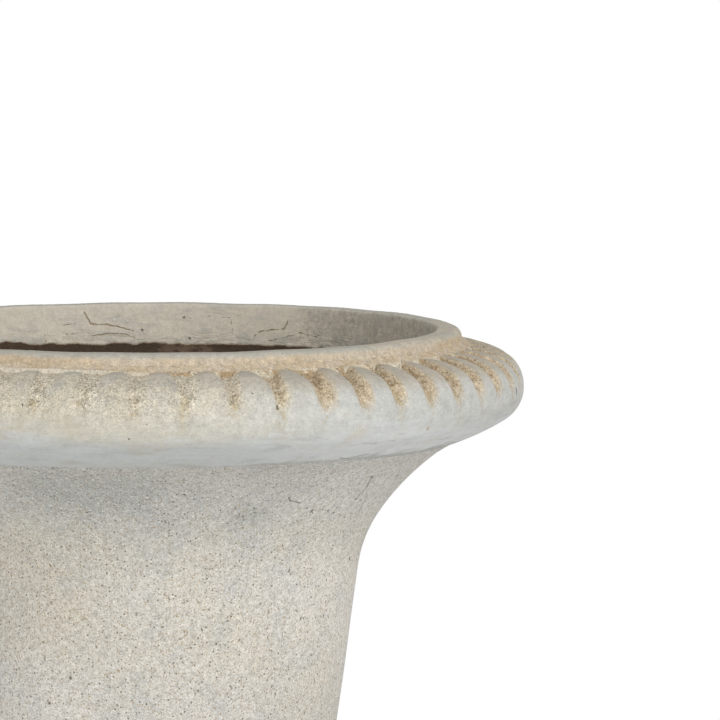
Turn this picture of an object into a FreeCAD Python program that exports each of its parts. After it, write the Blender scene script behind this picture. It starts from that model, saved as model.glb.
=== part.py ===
import FreeCAD, Part
import os
import Sketcher

# An urn planter of cast fibre cement: a bell-shaped bowl with a rolled, fluted rim and an upright lip,
# standing on a hollow pedestal and a square plinth. Millimetres, +Z up, origin under the plinth's centre.

os.makedirs("parts", exist_ok=True)
doc = FreeCAD.newDocument("urn_planter")

# ---------------------------------------------------------------- driving dimensions
SIZES = [
    # square plinth, hollow underneath
    ("plinth_width", 280.0), ("plinth_height", 45.0), ("plinth_wall", 24.0), ("plinth_plate", 22.0),
    ("plinth_edge", 9.0), ("plinth_drain_radius", 12.0),
    # beds of mortar
    ("plinth_bed", 3.0), ("roll_bed", 2.0), ("collar_bed", 2.0), ("bed_setback", 1.5),
    # pedestal: round foot, flared stem, bead and seat
    ("pedestal_height", 167.0), ("pedestal_wall", 16.0), ("foot_radius", 116.0), ("foot_height", 26.0),
    ("foot_round", 15.0), ("foot_step", 10.0), ("foot_land", 6.0), ("foot_wall", 22.0), ("stem_radius", 48.0),
    ("waist_height", 112.0), ("stem_sweep", 84.0), ("cove_sweep", 36.0), ("bead_radius", 58.0),
    ("bead_low", 137.0), ("bead_high", 152.0), ("bead_round", 8.5), ("seat_radius", 62.0),
    ("seat_plate", 20.0), ("seat_edge", 8.0),
    # gasket, bolt and drain
    ("gasket_thickness", 3.0), ("gasket_margin", 2.0), ("bolt_radius", 5.0), ("bolt_clearance", 0.5),
    ("thread_clearance", 0.1), ("nut_width", 17.0), ("nut_height", 8.0), ("head_height", 6.4),
    ("bolt_end", 4.0), ("washer_radius", 15.0), ("washer_thickness", 2.5), ("drain_offset", 24.0),
    ("drain_radius", 7.0), ("plug_clearance", 0.4), ("plug_seat_gap", 0.3), ("plug_flange", 8.6),
    ("plug_flange_height", 4.0), ("plug_length", 20.0), ("plug_point", 1.0), ("plug_grip_radius", 3.0),
    ("plug_grip_height", 9.0),
    # bowl: height over its seat, wall, and the outline from the crease down
    ("bowl_height", 348.0), ("bowl_wall", 16.0), ("bowl_floor", 24.0), ("floor_radius", 74.0),
    ("crease_radius", 222.0), ("crease_land", 28.0), ("flare_radius", 172.0), ("flare_height", 298.4),
    ("flare_slope", 33.8), ("flare_upper_sweep", 190.0), ("neck_radius", 156.0), ("neck_height", 256.7),
    ("flare_lower_sweep", 100.0), ("body_taper", 7.9), ("belly_height", 90.0), ("belly_sweep", 113.0),
    # roll: a hollow half-round ring, with one groove between every two lobes
    ("roll_radius", 280.5), ("roll_height", 72.3), ("roll_wall", 13.0), ("roll_lip_height", 8.0),
    ("nose_radius", 26.0), ("nose_height", 41.7), ("nose_low_angle", 58.8), ("nose_high_angle", 61.9),
    ("under_sweep", 181.0), ("shoulder_sweep", 65.0), ("shoulder_inner_sweep", 52.0),
    ("lobe_count", 51.0), ("groove_round", 6.5), ("groove_path_radius", 62.0), ("groove_start", 234.0),
    ("groove_depth", 4.0), ("groove_angle", 72.0),
    # collar: upright lip ring with a skirt hanging in the mouth
    ("mouth_radius", 215.0), ("collar_radius", 237.0), ("collar_height", 10.8), ("collar_round", 6.5),
    ("collar_lean", 3.5), ("skirt_depth", 30.0), ("skirt_thickness", 6.0), ("skirt_gap", 1.5),
]
# places that follow from the sizes above
PLACES = [
    ("foot_z", "plinth_height + plinth_bed"),
    ("gasket_z", "foot_z + pedestal_height"),
    ("bowl_z", "gasket_z + gasket_thickness"),
    ("roll_bed_z", "bowl_z + bowl_height"),
    ("roll_z", "roll_bed_z + roll_bed"),
    ("collar_bed_z", "roll_z + roll_height"),
    ("collar_z", "collar_bed_z + collar_bed"),
    ("floor_z", "bowl_z + bowl_floor"),
    ("plate_z", "gasket_z - seat_plate"),
    ("roll_mouth_radius", "mouth_radius + skirt_thickness + skirt_gap"),
    ("nose_centre", "roll_radius - nose_radius"),
    ("belly_radius", "neck_radius - (neck_height - belly_height) * tan(body_taper)"),
    ("wall_on_taper", "bowl_wall / cos(body_taper)"),
]

sizes = doc.addObject("Spreadsheet::Sheet", "sizes")
for row, (name, value) in enumerate(SIZES + PLACES, start=1):
    sizes.set("A%d" % row, name)
    sizes.set("B%d" % row, str(value) if isinstance(value, float) else "=" + value)
    sizes.setAlias("B%d" % row, name)
doc.recompute()


NAMES = {name for name, value in SIZES + PLACES}


def bound(formula):
    """The formula with each size read from the sheet."""
    for mark in "()+-*/":
        formula = formula.replace(mark, " " + mark + " ")
    return "".join("sizes." + word if word in NAMES else word for word in formula.split())


def value_of(formula):
    """The formula's present value."""
    result = sizes.evalExpression(bound(formula))
    return float(getattr(result, "Value", result))


# ---------------------------------------------------------------- ways of making
def origin_plane(body, role):
    return next(feature for feature in body.Origin.OriginFeatures if feature.Role == role)


def new_body(name, z_formula, x_formula=None):
    body = doc.addObject("PartDesign::Body", name)
    body.Label = name
    body.setExpression("Placement.Base.z", bound(z_formula))
    if x_formula:
        body.setExpression("Placement.Base.x", bound(x_formula))
    return body


def new_sketch(body, name, role):
    sketch = body.newObject("Sketcher::SketchObject", name)
    sketch.AttachmentSupport = (origin_plane(body, role), [""])
    sketch.MapMode = "FlatFace"
    return sketch


def bind(sketch, constraint, name, formula):
    """Adds a constraint whose value follows the formula."""
    index = sketch.addConstraint(constraint)
    sketch.renameConstraint(index, name)
    sketch.setExpression("Constraints." + name, bound(formula))


def place_point(sketch, edge, end, name, x_formula, y_formula):
    """Holds one end of an edge at its place; a 0 puts it on the sketch's axis."""
    for letter, formula, axis in (("X", x_formula, -2), ("Y", y_formula, -1)):
        if formula == "0":
            sketch.addConstraint(Sketcher.Constraint("PointOnObject", edge, end, axis))
        else:
            constraint = Sketcher.Constraint("Distance" + letter, -1, 1, edge, end, value_of(formula))
            bind(sketch, constraint, name + letter, formula)


def arc_between(start, stop, sweep, side):
    """The short arc of radius sweep; side is 1 with its centre on the left of the way, -1 on the right."""
    chord = stop - start
    across = FreeCAD.Vector(-chord.y, chord.x, 0).normalize() * side
    centre = (start + stop) * 0.5 + across * (sweep ** 2 - (chord.Length / 2) ** 2) ** 0.5
    circle = Part.Circle(centre, FreeCAD.Vector(0, 0, 1), sweep)
    first, last = (start, stop) if side > 0 else (stop, start)
    return Part.ArcOfCircle(circle, circle.parameter(first), circle.parameter(last))


def outline(sketch, corners):
    """A closed outline. A corner is (x, y), or (x, y, sweep, side) where an arc leads on to the next."""
    points = [FreeCAD.Vector(value_of(corner[0]), value_of(corner[1]), 0) for corner in corners]
    ends = []
    for index, corner in enumerate(corners):
        start, stop = points[index], points[(index + 1) % len(points)]
        if len(corner) == 2:
            edge = sketch.addGeometry(Part.LineSegment(start, stop), False)
            ends.append((edge, 1, 2))
        else:
            edge = sketch.addGeometry(arc_between(start, stop, value_of(corner[2]), corner[3]), False)
            ends.append((edge, 1, 2) if corner[3] > 0 else (edge, 2, 1))
    for index, (edge, first, last) in enumerate(ends):
        following, its_first, its_last = ends[(index + 1) % len(ends)]
        sketch.addConstraint(Sketcher.Constraint("Coincident", edge, last, following, its_first))
    for index, (corner, (edge, first, last)) in enumerate(zip(corners, ends)):
        place_point(sketch, edge, first, "corner%d" % index, corner[0], corner[1])
        if len(corner) == 4:
            radius = Sketcher.Constraint("Radius", edge, value_of(corner[2]))
            bind(sketch, radius, "sweep%d" % index, corner[2])


def circle(sketch, x_formula, y_formula, radius_formula):
    place = FreeCAD.Vector(value_of(x_formula), value_of(y_formula), 0)
    shape = Part.Circle(place, FreeCAD.Vector(0, 0, 1), value_of(radius_formula))
    edge = sketch.addGeometry(shape, False)
    name = "circle%d" % edge
    if x_formula == "0" and y_formula == "0":
        sketch.addConstraint(Sketcher.Constraint("Coincident", edge, 3, -1, 1))
    else:
        place_point(sketch, edge, 3, name, x_formula, y_formula)
    bind(sketch, Sketcher.Constraint("Radius", edge, value_of(radius_formula)), name + "radius", radius_formula)


def square(sketch, width_formula):
    half = "(" + width_formula + ") / 2"
    outline(sketch, [("-" + half, "-" + half), (half, "-" + half), (half, half), ("-" + half, half)])


def turned(body, name, corners):
    """A piece turned about its own upright axis."""
    sketch = new_sketch(body, name + "_outline", "XZ_Plane")
    outline(sketch, corners)
    feature = body.newObject("PartDesign::Revolution", name + "_turned")
    feature.Profile = sketch
    feature.ReferenceAxis = (sketch, ["V_Axis"])
    feature.Angle = 360.0


def padded(body, sketch, name, height_formula):
    feature = body.newObject("PartDesign::Pad", name)
    feature.Profile = sketch
    feature.setExpression("Length", bound(height_formula))
    return feature


def drilled(body, name, x_formula, radius_formula):
    """An upright hole right through the piece."""
    sketch = new_sketch(body, name + "_circle", "XY_Plane")
    circle(sketch, x_formula, "0", radius_formula)
    feature = body.newObject("PartDesign::Pocket", name)
    feature.Profile = sketch
    feature.Type = "ThroughAll"
    feature.Midplane = True


def flat_ring(name, z_formula, inner, outer, height):
    body = new_body(name, z_formula)
    turned(body, name, [(inner, "0"), (outer, "0"), (outer, height), (inner, height)])
    return body


def cylinder(name, radius, height, z_formula):
    shape = doc.addObject("Part::Cylinder", name)
    shape.setExpression("Radius", bound(radius))
    shape.setExpression("Height", bound(height))
    shape.setExpression("Placement.Base.z", bound(z_formula))
    return shape


def hexagon(name, height, z_formula):
    shape = doc.addObject("Part::Prism", name)
    shape.Polygon = 6
    shape.setExpression("Circumradius", bound("nut_width / 2 / cos(30)"))
    shape.setExpression("Height", bound(height))
    shape.setExpression("Placement.Base.z", bound(z_formula))
    return shape


def joined(kind, name, base, tool):
    shape = doc.addObject(kind, name)
    shape.Base = base
    shape.Tool = tool
    shape.Label = name
    return shape


# ---------------------------------------------------------------- the pieces
def make_plinth():
    body = new_body("plinth", "0")
    slab = new_sketch(body, "slab_square", "XY_Plane")
    square(slab, "plinth_width")
    block = padded(body, slab, "slab", "plinth_height")
    doc.recompute()
    top = value_of("plinth_height")
    upper_edges = [
        "Edge%d" % number for number, edge in enumerate(block.Shape.Edges, start=1)
        if all(abs(vertex.Point.z - top) < 1e-6 for vertex in edge.Vertexes)
    ]
    bevel = body.newObject("PartDesign::Chamfer", "slab_bevel")
    bevel.Base = (block, upper_edges)
    bevel.setExpression("Size", bound("plinth_edge"))
    inside = new_sketch(body, "recess_square", "XY_Plane")
    square(inside, "plinth_width - 2 * plinth_wall")
    recess = body.newObject("PartDesign::Pocket", "recess")
    recess.Profile = inside
    recess.Reversed = True
    recess.setExpression("Length", bound("plinth_height - plinth_plate"))
    drilled(body, "plinth_drain", "0", "plinth_drain_radius")
    return body


def make_pedestal():
    body = new_body("pedestal", "foot_z")
    hollow = "stem_radius - pedestal_wall"
    flare_foot = "foot_radius - foot_step"
    flare_bottom = "foot_height + foot_land"
    plate = "pedestal_height - seat_plate"
    turned(body, "pedestal", [
        ("foot_radius - foot_wall", "0"),
        ("foot_radius", "0", "foot_round", 1),
        ("foot_radius", "foot_height"),
        (flare_foot, "foot_height"),
        (flare_foot, flare_bottom, "stem_sweep", -1),
        ("stem_radius", "waist_height", "cove_sweep", -1),
        ("bead_radius", "bead_low", "bead_round", 1),
        ("bead_radius", "bead_high"),
        ("seat_radius", "pedestal_height - seat_edge"),
        ("seat_radius", "pedestal_height"),
        ("bolt_radius + bolt_clearance", "pedestal_height"),
        ("bolt_radius + bolt_clearance", plate),
        (hollow, plate),
        (hollow, "waist_height", "stem_sweep + pedestal_wall", 1),
        ("foot_radius - foot_wall", flare_bottom),
    ])
    drilled(body, "pedestal_drain", "drain_offset", "drain_radius")
    return body


def make_gasket():
    body = new_body("bowl_gasket", "gasket_z")
    disc = new_sketch(body, "gasket_circles", "XY_Plane")
    circle(disc, "0", "0", "seat_radius - gasket_margin")
    circle(disc, "0", "0", "bolt_radius + bolt_clearance")
    circle(disc, "drain_offset", "0", "drain_radius")
    padded(body, disc, "gasket_disc", "gasket_thickness")
    return body


def make_bowl():
    body = new_body("bowl_body", "bowl_z")
    turned(body, "bowl_body", [
        ("bolt_radius + bolt_clearance", "0"),
        ("seat_radius", "0", "belly_sweep", 1),
        ("belly_radius", "belly_height"),
        ("neck_radius", "neck_height", "flare_lower_sweep", -1),
        ("flare_radius", "flare_height", "flare_upper_sweep", -1),
        ("crease_radius", "bowl_height"),
        ("crease_radius - crease_land", "bowl_height", "flare_upper_sweep + bowl_wall", 1),
        ("flare_radius - bowl_wall * cos(flare_slope)", "flare_height + bowl_wall * sin(flare_slope)",
         "flare_lower_sweep + bowl_wall", 1),
        ("neck_radius - wall_on_taper", "neck_height"),
        ("belly_radius - wall_on_taper", "belly_height", "belly_sweep - bowl_wall", -1),
        ("floor_radius", "bowl_floor"),
        ("bolt_radius + bolt_clearance", "bowl_floor"),
    ])
    drilled(body, "bowl_drain", "drain_offset", "drain_radius")
    return body


def make_roll():
    body = new_body("rim_roll", "roll_z")
    inner_nose = "(nose_radius - roll_wall)"
    turned(body, "rim_roll", [
        ("crease_radius - crease_land", "0"),
        ("crease_radius", "0", "under_sweep", 1),
        ("nose_centre + nose_radius * cos(nose_low_angle)",
         "nose_height - nose_radius * sin(nose_low_angle)", "nose_radius", 1),
        ("nose_centre + nose_radius * cos(nose_high_angle)",
         "nose_height + nose_radius * sin(nose_high_angle)", "shoulder_sweep", 1),
        ("collar_radius", "roll_height"),
        ("roll_mouth_radius", "roll_height"),
        ("roll_mouth_radius", "roll_height - roll_wall", "shoulder_inner_sweep", -1),
        ("nose_centre + " + inner_nose + " * cos(nose_high_angle)",
         "nose_height + " + inner_nose + " * sin(nose_high_angle)", inner_nose, -1),
        ("nose_centre + " + inner_nose + " * cos(nose_low_angle)",
         "nose_height - " + inner_nose + " * sin(nose_low_angle)"),
        ("crease_radius - crease_land", "roll_lip_height"),
    ])
    # a groove starts under the collar, runs out over the shoulder and fades at the widest part
    bit = new_sketch(body, "groove_circle", "YZ_Plane")
    height = "roll_height - groove_depth + groove_round - groove_path_radius"
    bit.setExpression("AttachmentOffset.Base.z", bound("groove_start"))
    bit.setExpression("AttachmentOffset.Base.y", bound(height))
    circle(bit, "0", "groove_path_radius", "groove_round")
    doc.recompute()
    whole = body.Shape.Volume
    groove = body.newObject("PartDesign::Groove", "groove")
    groove.Profile = bit
    groove.ReferenceAxis = (bit, ["H_Axis"])
    groove.setExpression("Angle", bound("groove_angle"))
    groove.Reversed = False
    doc.recompute()
    print("one groove takes", round(whole - body.Shape.Volume, 1), "mm3")
    ring = body.newObject("PartDesign::PolarPattern", "grooves")
    ring.Originals = [groove]
    ring.Axis = (origin_plane(body, "Z_Axis"), [""])
    ring.Angle = 360.0
    ring.setExpression("Occurrences", bound("lobe_count"))
    body.Tip = ring
    return body


def make_collar():
    body = new_body("rim_collar", "collar_z")
    skirt = "mouth_radius + skirt_thickness"
    skirt_foot = "collar_height - skirt_depth"
    shoulder = "collar_radius - collar_lean"
    turned(body, "rim_collar", [
        ("mouth_radius", skirt_foot),
        (skirt, skirt_foot),
        (skirt, "0"),
        ("collar_radius", "0"),
        (shoulder, "collar_height - collar_round", "collar_round", 1),
        (shoulder + " - collar_round", "collar_height"),
        ("mouth_radius", "collar_height"),
    ])
    return body


def make_bolt_set():
    head_z = "floor_z + washer_thickness"
    low_washer_z = "plate_z - washer_thickness"
    nut_z = low_washer_z + " - nut_height"
    shank_z = nut_z + " - bolt_end"
    head = hexagon("bolt_head", "head_height", head_z)
    shank = cylinder("bolt_shank", "bolt_radius", head_z + " - (" + shank_z + ")", shank_z)
    bolt = joined("Part::Fuse", "centre_bolt", head, shank)
    nut_block = hexagon("nut_block", "nut_height", nut_z)
    nut_bore = cylinder("nut_bore", "bolt_radius + thread_clearance", "nut_height", nut_z)
    nut = joined("Part::Cut", "bolt_nut", nut_block, nut_bore)
    washers = doc.addObject("Part::Compound", "bolt_washers")
    washers.Label = "bolt_washers"
    discs = []
    for name, z_formula in (("upper_washer", "floor_z"), ("lower_washer", low_washer_z)):
        disc = cylinder(name + "_disc", "washer_radius", "washer_thickness", z_formula)
        hole = cylinder(name + "_hole", "bolt_radius + bolt_clearance", "washer_thickness", z_formula)
        discs.append(joined("Part::Cut", name, disc, hole))
    washers.Links = discs
    return [bolt, nut, washers]


def make_plug():
    body = new_body("drain_plug", "floor_z + plug_seat_gap", "drain_offset")
    stem = "drain_radius - plug_clearance"
    turned(body, "drain_plug", [
        ("0", "-plug_length"),
        (stem + " - plug_point", "-plug_length"),
        (stem, "-plug_length / 2"),
        (stem, "0"),
        ("plug_flange", "0"),
        ("plug_flange", "plug_flange_height"),
        ("plug_grip_radius", "plug_flange_height"),
        ("plug_grip_radius", "plug_flange_height + plug_grip_height"),
        ("0", "plug_flange_height + plug_grip_height"),
    ])
    return body


pieces = [
    make_plinth(),
    flat_ring("plinth_mortar", "plinth_height", "foot_radius - foot_wall + bed_setback",
              "foot_radius - bed_setback", "plinth_bed"),
    make_pedestal(),
    make_gasket(),
    make_bowl(),
    flat_ring("roll_mortar", "roll_bed_z", "crease_radius - crease_land + bed_setback",
              "crease_radius - bed_setback", "roll_bed"),
    make_roll(),
    flat_ring("collar_mortar", "collar_bed_z", "roll_mouth_radius", "collar_radius - bed_setback",
              "collar_bed"),
    make_collar(),
    make_plug(),
]
pieces += make_bolt_set()
doc.recompute()

# ---------------------------------------------------------------- check and write
for item in doc.Objects:
    if "Invalid" in item.State or "Error" in item.State:
        raise RuntimeError(item.Name + " failed: " + str(item.State))
for piece in pieces:
    shape = piece.Shape
    if shape.isNull() or not shape.isValid():
        raise RuntimeError(piece.Label + " has no valid shape")
for piece in pieces:
    piece.Shape.exportStep("parts/" + piece.Label + ".step")
    print(piece.Label, len(piece.Shape.Solids), round(piece.Shape.Volume / 1000.0, 1), "cm3")
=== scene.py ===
import bmesh
import bpy
import math
import numpy as np
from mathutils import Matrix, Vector


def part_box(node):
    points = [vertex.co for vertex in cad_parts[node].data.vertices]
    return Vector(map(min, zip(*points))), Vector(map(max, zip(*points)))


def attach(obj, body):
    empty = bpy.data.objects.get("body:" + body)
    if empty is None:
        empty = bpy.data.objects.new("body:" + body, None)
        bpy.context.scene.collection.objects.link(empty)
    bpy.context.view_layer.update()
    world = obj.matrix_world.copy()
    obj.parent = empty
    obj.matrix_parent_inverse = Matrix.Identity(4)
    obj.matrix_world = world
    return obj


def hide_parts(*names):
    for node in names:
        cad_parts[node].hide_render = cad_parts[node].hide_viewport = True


# A cast cement urn planter with a rolled, fluted rim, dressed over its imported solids.
# Metres. Angles round the urn are measured from the side that faces the camera, positive to its right.

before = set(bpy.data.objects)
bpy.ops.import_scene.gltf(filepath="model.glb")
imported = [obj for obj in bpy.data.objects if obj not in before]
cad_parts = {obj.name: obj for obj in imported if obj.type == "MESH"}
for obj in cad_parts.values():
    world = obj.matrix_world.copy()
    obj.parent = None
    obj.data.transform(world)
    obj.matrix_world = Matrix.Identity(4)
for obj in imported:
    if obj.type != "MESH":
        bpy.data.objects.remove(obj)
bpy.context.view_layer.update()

MM = 0.001
HAIR = 0.001 * MM
URN, STOPPER = "urn", "stopper"


# ---------------------------------------------------------------- sizes read from the frame
LIP_LOW, LIP_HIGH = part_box("rim_collar")
ROLL_LOW, ROLL_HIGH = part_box("rim_roll")
BOWL_LOW, BOWL_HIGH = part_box("bowl_body")
PEDESTAL_LOW, PEDESTAL_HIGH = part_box("pedestal")
LIP_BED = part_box("collar_mortar")[1].z
CREASE_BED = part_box("roll_mortar")[0].z
FOOT_BED_LOW, FOOT_BED_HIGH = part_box("plinth_mortar")
GASKET_LOW, GASKET_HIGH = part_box("bowl_gasket")
BOLT_LOW, BOLT_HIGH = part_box("centre_bolt")
NUT_LOW, NUT_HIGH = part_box("bolt_nut")
WASHER_LOW, WASHER_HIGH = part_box("bolt_washers")
PLUG_LOW, PLUG_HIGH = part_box("drain_plug")

LIP_TOP, LIP_OUT, MOUTH = LIP_HIGH.z, LIP_HIGH.x, 215 * MM
CREASE = BOWL_HIGH.x

# the roll's section, as it was cast
NOSE_ROUND, NOSE_CENTRE, NOSE_HEIGHT = 26 * MM, ROLL_HIGH.x - 26 * MM, ROLL_LOW.z + 41.7 * MM
NOSE_LOW_ANGLE, NOSE_HIGH_ANGLE = math.radians(-58.8), math.radians(61.9)
UNDER_SWEEP, SHOULDER_SWEEP = 181 * MM, 65 * MM
ROLL_WALL, ROLL_LIP, CREASE_LAND = 13 * MM, 8 * MM, 28 * MM
ROLL_MOUTH = 222.5 * MM

# the bowl's flare below the crease
FLARE, FLARE_Z, FLARE_SWEEP = 172 * MM, BOWL_LOW.z + 298.4 * MM, 190 * MM

# bolt and drain
BOLT_HOLE, HEX_WIDTH = 5.5 * MM, 17 * MM
DRAIN_OFFSET, DRAIN_RADIUS = (PLUG_LOW.x + PLUG_HIGH.x) / 2, 7 * MM

# the roll's lobes and grooves: a turn is a share of the full circle, a width a share of one lobe
LOBES = 51
RIM_SEGMENTS = LOBES * 23
FLUTES = {
    "Lobe Count": float(LOBES), "First Groove": -2.5 / 360, "Drift": 1.5 / 360, "Drift Waves": 3.0,
    "Drift Start": -5 / 360, "Groove Depth": 5.2 * MM, "Gentle Side": 0.34, "Steep Side": 0.14,
    "Floor Width": 0.05, "Head Width": 0.42, "Head Length": 34 * MM, "Lean": 1 / 360,
    "Lean Length": 26 * MM, "Fade Start": 28 * MM, "Fade End": 64 * MM, "Crown": 0.8 * MM,
    "Worn Turn": -30 / 360, "Wear": 0.75, "Bold Turn": 68 / 360, "Groove Grain": 0.7 * MM,
}

# how far a hand-finished casting's surface strays from its true form
CASTING = {
    "Lump Height": 0.7 * MM, "Lump Size": 90 * MM, "Grain Height": 0.12 * MM, "Grain Size": 4 * MM,
    "Ragged Height": 0.0, "Ragged Size": 20 * MM, "Seed": 4.0,
}


# ---------------------------------------------------------------- outlines
def arc(start, stop, step, sweep, side):
    """Points of the short arc after start, up to stop; side is 1 with the centre on the left of the way."""
    a, b = np.array(start), np.array(stop)
    length = math.dist(start, stop)
    across = np.array([a[1] - b[1], b[0] - a[0]]) / length * side
    centre = (a + b) / 2 + across * math.sqrt(sweep ** 2 - (length / 2) ** 2)
    turn = 2 * math.asin(length / 2 / sweep) * side
    count = max(2, math.ceil(sweep * abs(turn) / step))
    angles = turn * np.arange(1, count + 1) / count
    spoke = a - centre
    square_to_spoke = np.array([-spoke[1], spoke[0]])
    return list(centre + np.outer(np.cos(angles), spoke) + np.outer(np.sin(angles), square_to_spoke))


def line(start, stop, step):
    """Points of the straight stretch after start, up to stop."""
    count = max(1, math.ceil(math.dist(start, stop) / step))
    return list(np.array(start) + np.outer(np.arange(1, count + 1) / count, np.subtract(stop, start)))


def outline(corners):
    """Points round a closed outline. A corner is (x, y, step) or (x, y, step, sweep, side)."""
    points = []
    for corner, following in zip(corners, corners[1:] + corners[:1]):
        stretch = arc if len(corner) == 5 else line
        points += stretch(corner[:2], following[:2], *corner[2:])
    return points[-1:] + points[:-1]


def eased(points):
    """The closed outline with each point drawn towards the middle of its neighbours."""
    places = np.array(points)
    return (np.roll(places, 1, axis=0) + 2 * places + np.roll(places, -1, axis=0)) / 4


def lengths_from(points, zero):
    """The way along the outline to each point, counted from the point nearest to zero."""
    places = np.array(points)
    along = np.concatenate([[0.0], np.cumsum(np.hypot(*np.diff(places, axis=0).T))])
    return along - along[np.argmin(np.hypot(*(places - zero).T))]


def on_nose(radius, angle):
    return (NOSE_CENTRE + radius * math.cos(angle), NOSE_HEIGHT + radius * math.sin(angle))


# ---------------------------------------------------------------- meshes
def write_attribute(mesh, name, values):
    attribute = mesh.attributes.new(name, "FLOAT", "POINT")
    attribute.data.foreach_set("value", np.asarray(values, dtype=np.float32))


def attribute_of(mesh, name):
    values = np.zeros(len(mesh.vertices), dtype=np.float32)
    mesh.attributes[name].data.foreach_get("value", values)
    return values


def around(segments):
    """Where each section of a ring stands, as a share of the full circle."""
    return np.arange(segments) / segments - 0.5


def ring_mesh(radius, height, x=0.0, **readings):
    """A ring of sections round an upright axis at x: radius and height hold a row of points for each.

    Each reading is kept on the points, and is given for a row of points or for all of them.
    """
    segments, rows = radius.shape
    turn = around(segments)[:, None]
    angle = 2 * np.pi * turn
    places = np.stack([x + np.sin(angle) * radius, -np.cos(angle) * radius, height], axis=-1)
    column, row = np.meshgrid(np.arange(segments), np.arange(rows), indexing="ij")
    next_column, next_row = (column + 1) % segments, (row + 1) % rows
    faces = np.stack([column * rows + row, next_column * rows + row,
                      next_column * rows + next_row, column * rows + next_row], axis=-1)
    mesh = bpy.data.meshes.new("ring")
    mesh.from_pydata(places.reshape(-1, 3).tolist(), [], faces.reshape(-1, 4).tolist())
    for name, values in {"turn": turn, **readings}.items():
        write_attribute(mesh, name, np.broadcast_to(values, radius.shape).ravel())
    return mesh


def turned_mesh(points, segments, x=0.0, **readings):
    """A closed outline turned about the upright axis at x."""
    radius, height = (np.tile(values, (segments, 1)) for values in np.array(points).T)
    return ring_mesh(radius, height, x, **readings)


def hexagon_mesh(low, high, bore):
    """A hexagonal head or nut, its corners cut back at both ends."""
    corner, chamfer, segments = math.radians(60), math.radians(30), 96
    flat_share = 0.475
    angle = 2 * np.pi * around(segments)
    reach = HEX_WIDTH / 2 / np.cos((angle + corner / 2) % corner - corner / 2)
    face = np.full(segments, flat_share * HEX_WIDTH)
    drop = (reach - face) * math.tan(chamfer)
    hole, foot, top = np.full(segments, bore), np.full(segments, low), np.full(segments, high)
    radius = np.stack([hole, face, reach, reach, face, hole], axis=1)
    height = np.stack([foot, foot, low + drop, high - drop, top, top], axis=1)
    return ring_mesh(radius, height)


def closed_on_axis(mesh):
    """The mesh with the points that meet on its axis made one, and nothing loose left there."""
    shape = bmesh.new()
    shape.from_mesh(mesh)
    bmesh.ops.remove_doubles(shape, verts=shape.verts, dist=0.01 * MM)
    loose = [edge for edge in shape.edges if not edge.link_faces]
    bmesh.ops.delete(shape, geom=loose, context="EDGES")
    bmesh.ops.recalc_face_normals(shape, faces=shape.faces)
    shape.to_mesh(mesh)
    shape.free()
    return mesh


def together(meshes):
    """Several meshes as one."""
    shape = bmesh.new()
    for mesh in meshes:
        shape.from_mesh(mesh)
    whole = bpy.data.meshes.new("whole")
    shape.to_mesh(whole)
    shape.free()
    return whole


def applied(mesh, kind, inputs=None, **settings):
    """The mesh after one modifier, as a plain mesh. inputs are set by their sockets' identifiers."""
    holder = bpy.data.objects.new("holder", mesh)
    bpy.context.scene.collection.objects.link(holder)
    modifier = holder.modifiers.new(kind, kind)
    for name, value in settings.items():
        setattr(modifier, name, value)
    for identifier, value in (inputs or {}).items():
        modifier[identifier] = value
    graph = bpy.context.evaluated_depsgraph_get()
    plain = bpy.data.meshes.new_from_object(holder.evaluated_get(graph), depsgraph=graph)
    holder.modifiers.remove(modifier)
    bpy.data.objects.remove(holder)
    return plain


def through_tree(mesh, tree, sizes, material):
    """The mesh after a geometry tree with these sizes."""
    given = {**sizes, "Material": material}
    inputs = {item.identifier: given[item.name] for item in tree.interface.items_tree
              if item.in_out == "INPUT" and item.name in given}
    return applied(mesh, "NODES", inputs, node_group=tree)


def drilled(mesh, low, high):
    """The mesh with the drain's round hole through it."""
    sides = 48
    angles = [2 * math.pi * index / sides for index in range(sides)]
    ends = [(DRAIN_OFFSET + DRAIN_RADIUS * math.cos(angle), DRAIN_RADIUS * math.sin(angle), z)
            for z in (low, high) for angle in angles]
    walls = [(index, (index + 1) % sides, sides + (index + 1) % sides, sides + index)
             for index in range(sides)]
    bit = bpy.data.meshes.new("bit")
    bit.from_pydata(ends, [], [tuple(reversed(range(sides))), *walls, tuple(range(sides, 2 * sides))])
    tool = bpy.data.objects.new("bit", bit)
    bpy.context.scene.collection.objects.link(tool)
    result = applied(mesh, "BOOLEAN", object=tool)
    bpy.data.objects.remove(tool)
    return result


def finished(name, mesh, body, slot, *nodes, smooth=True):
    """A piece at the origin that rides on a body, in place of the CAD nodes that are named."""
    mesh.name = name
    mesh.polygons.foreach_set("use_smooth", [smooth] * len(mesh.polygons))
    piece = bpy.data.objects.new(name, mesh)
    bpy.context.scene.collection.objects.link(piece)
    if nodes:
        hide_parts(*nodes)
    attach(piece, body)
    return piece


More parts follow.
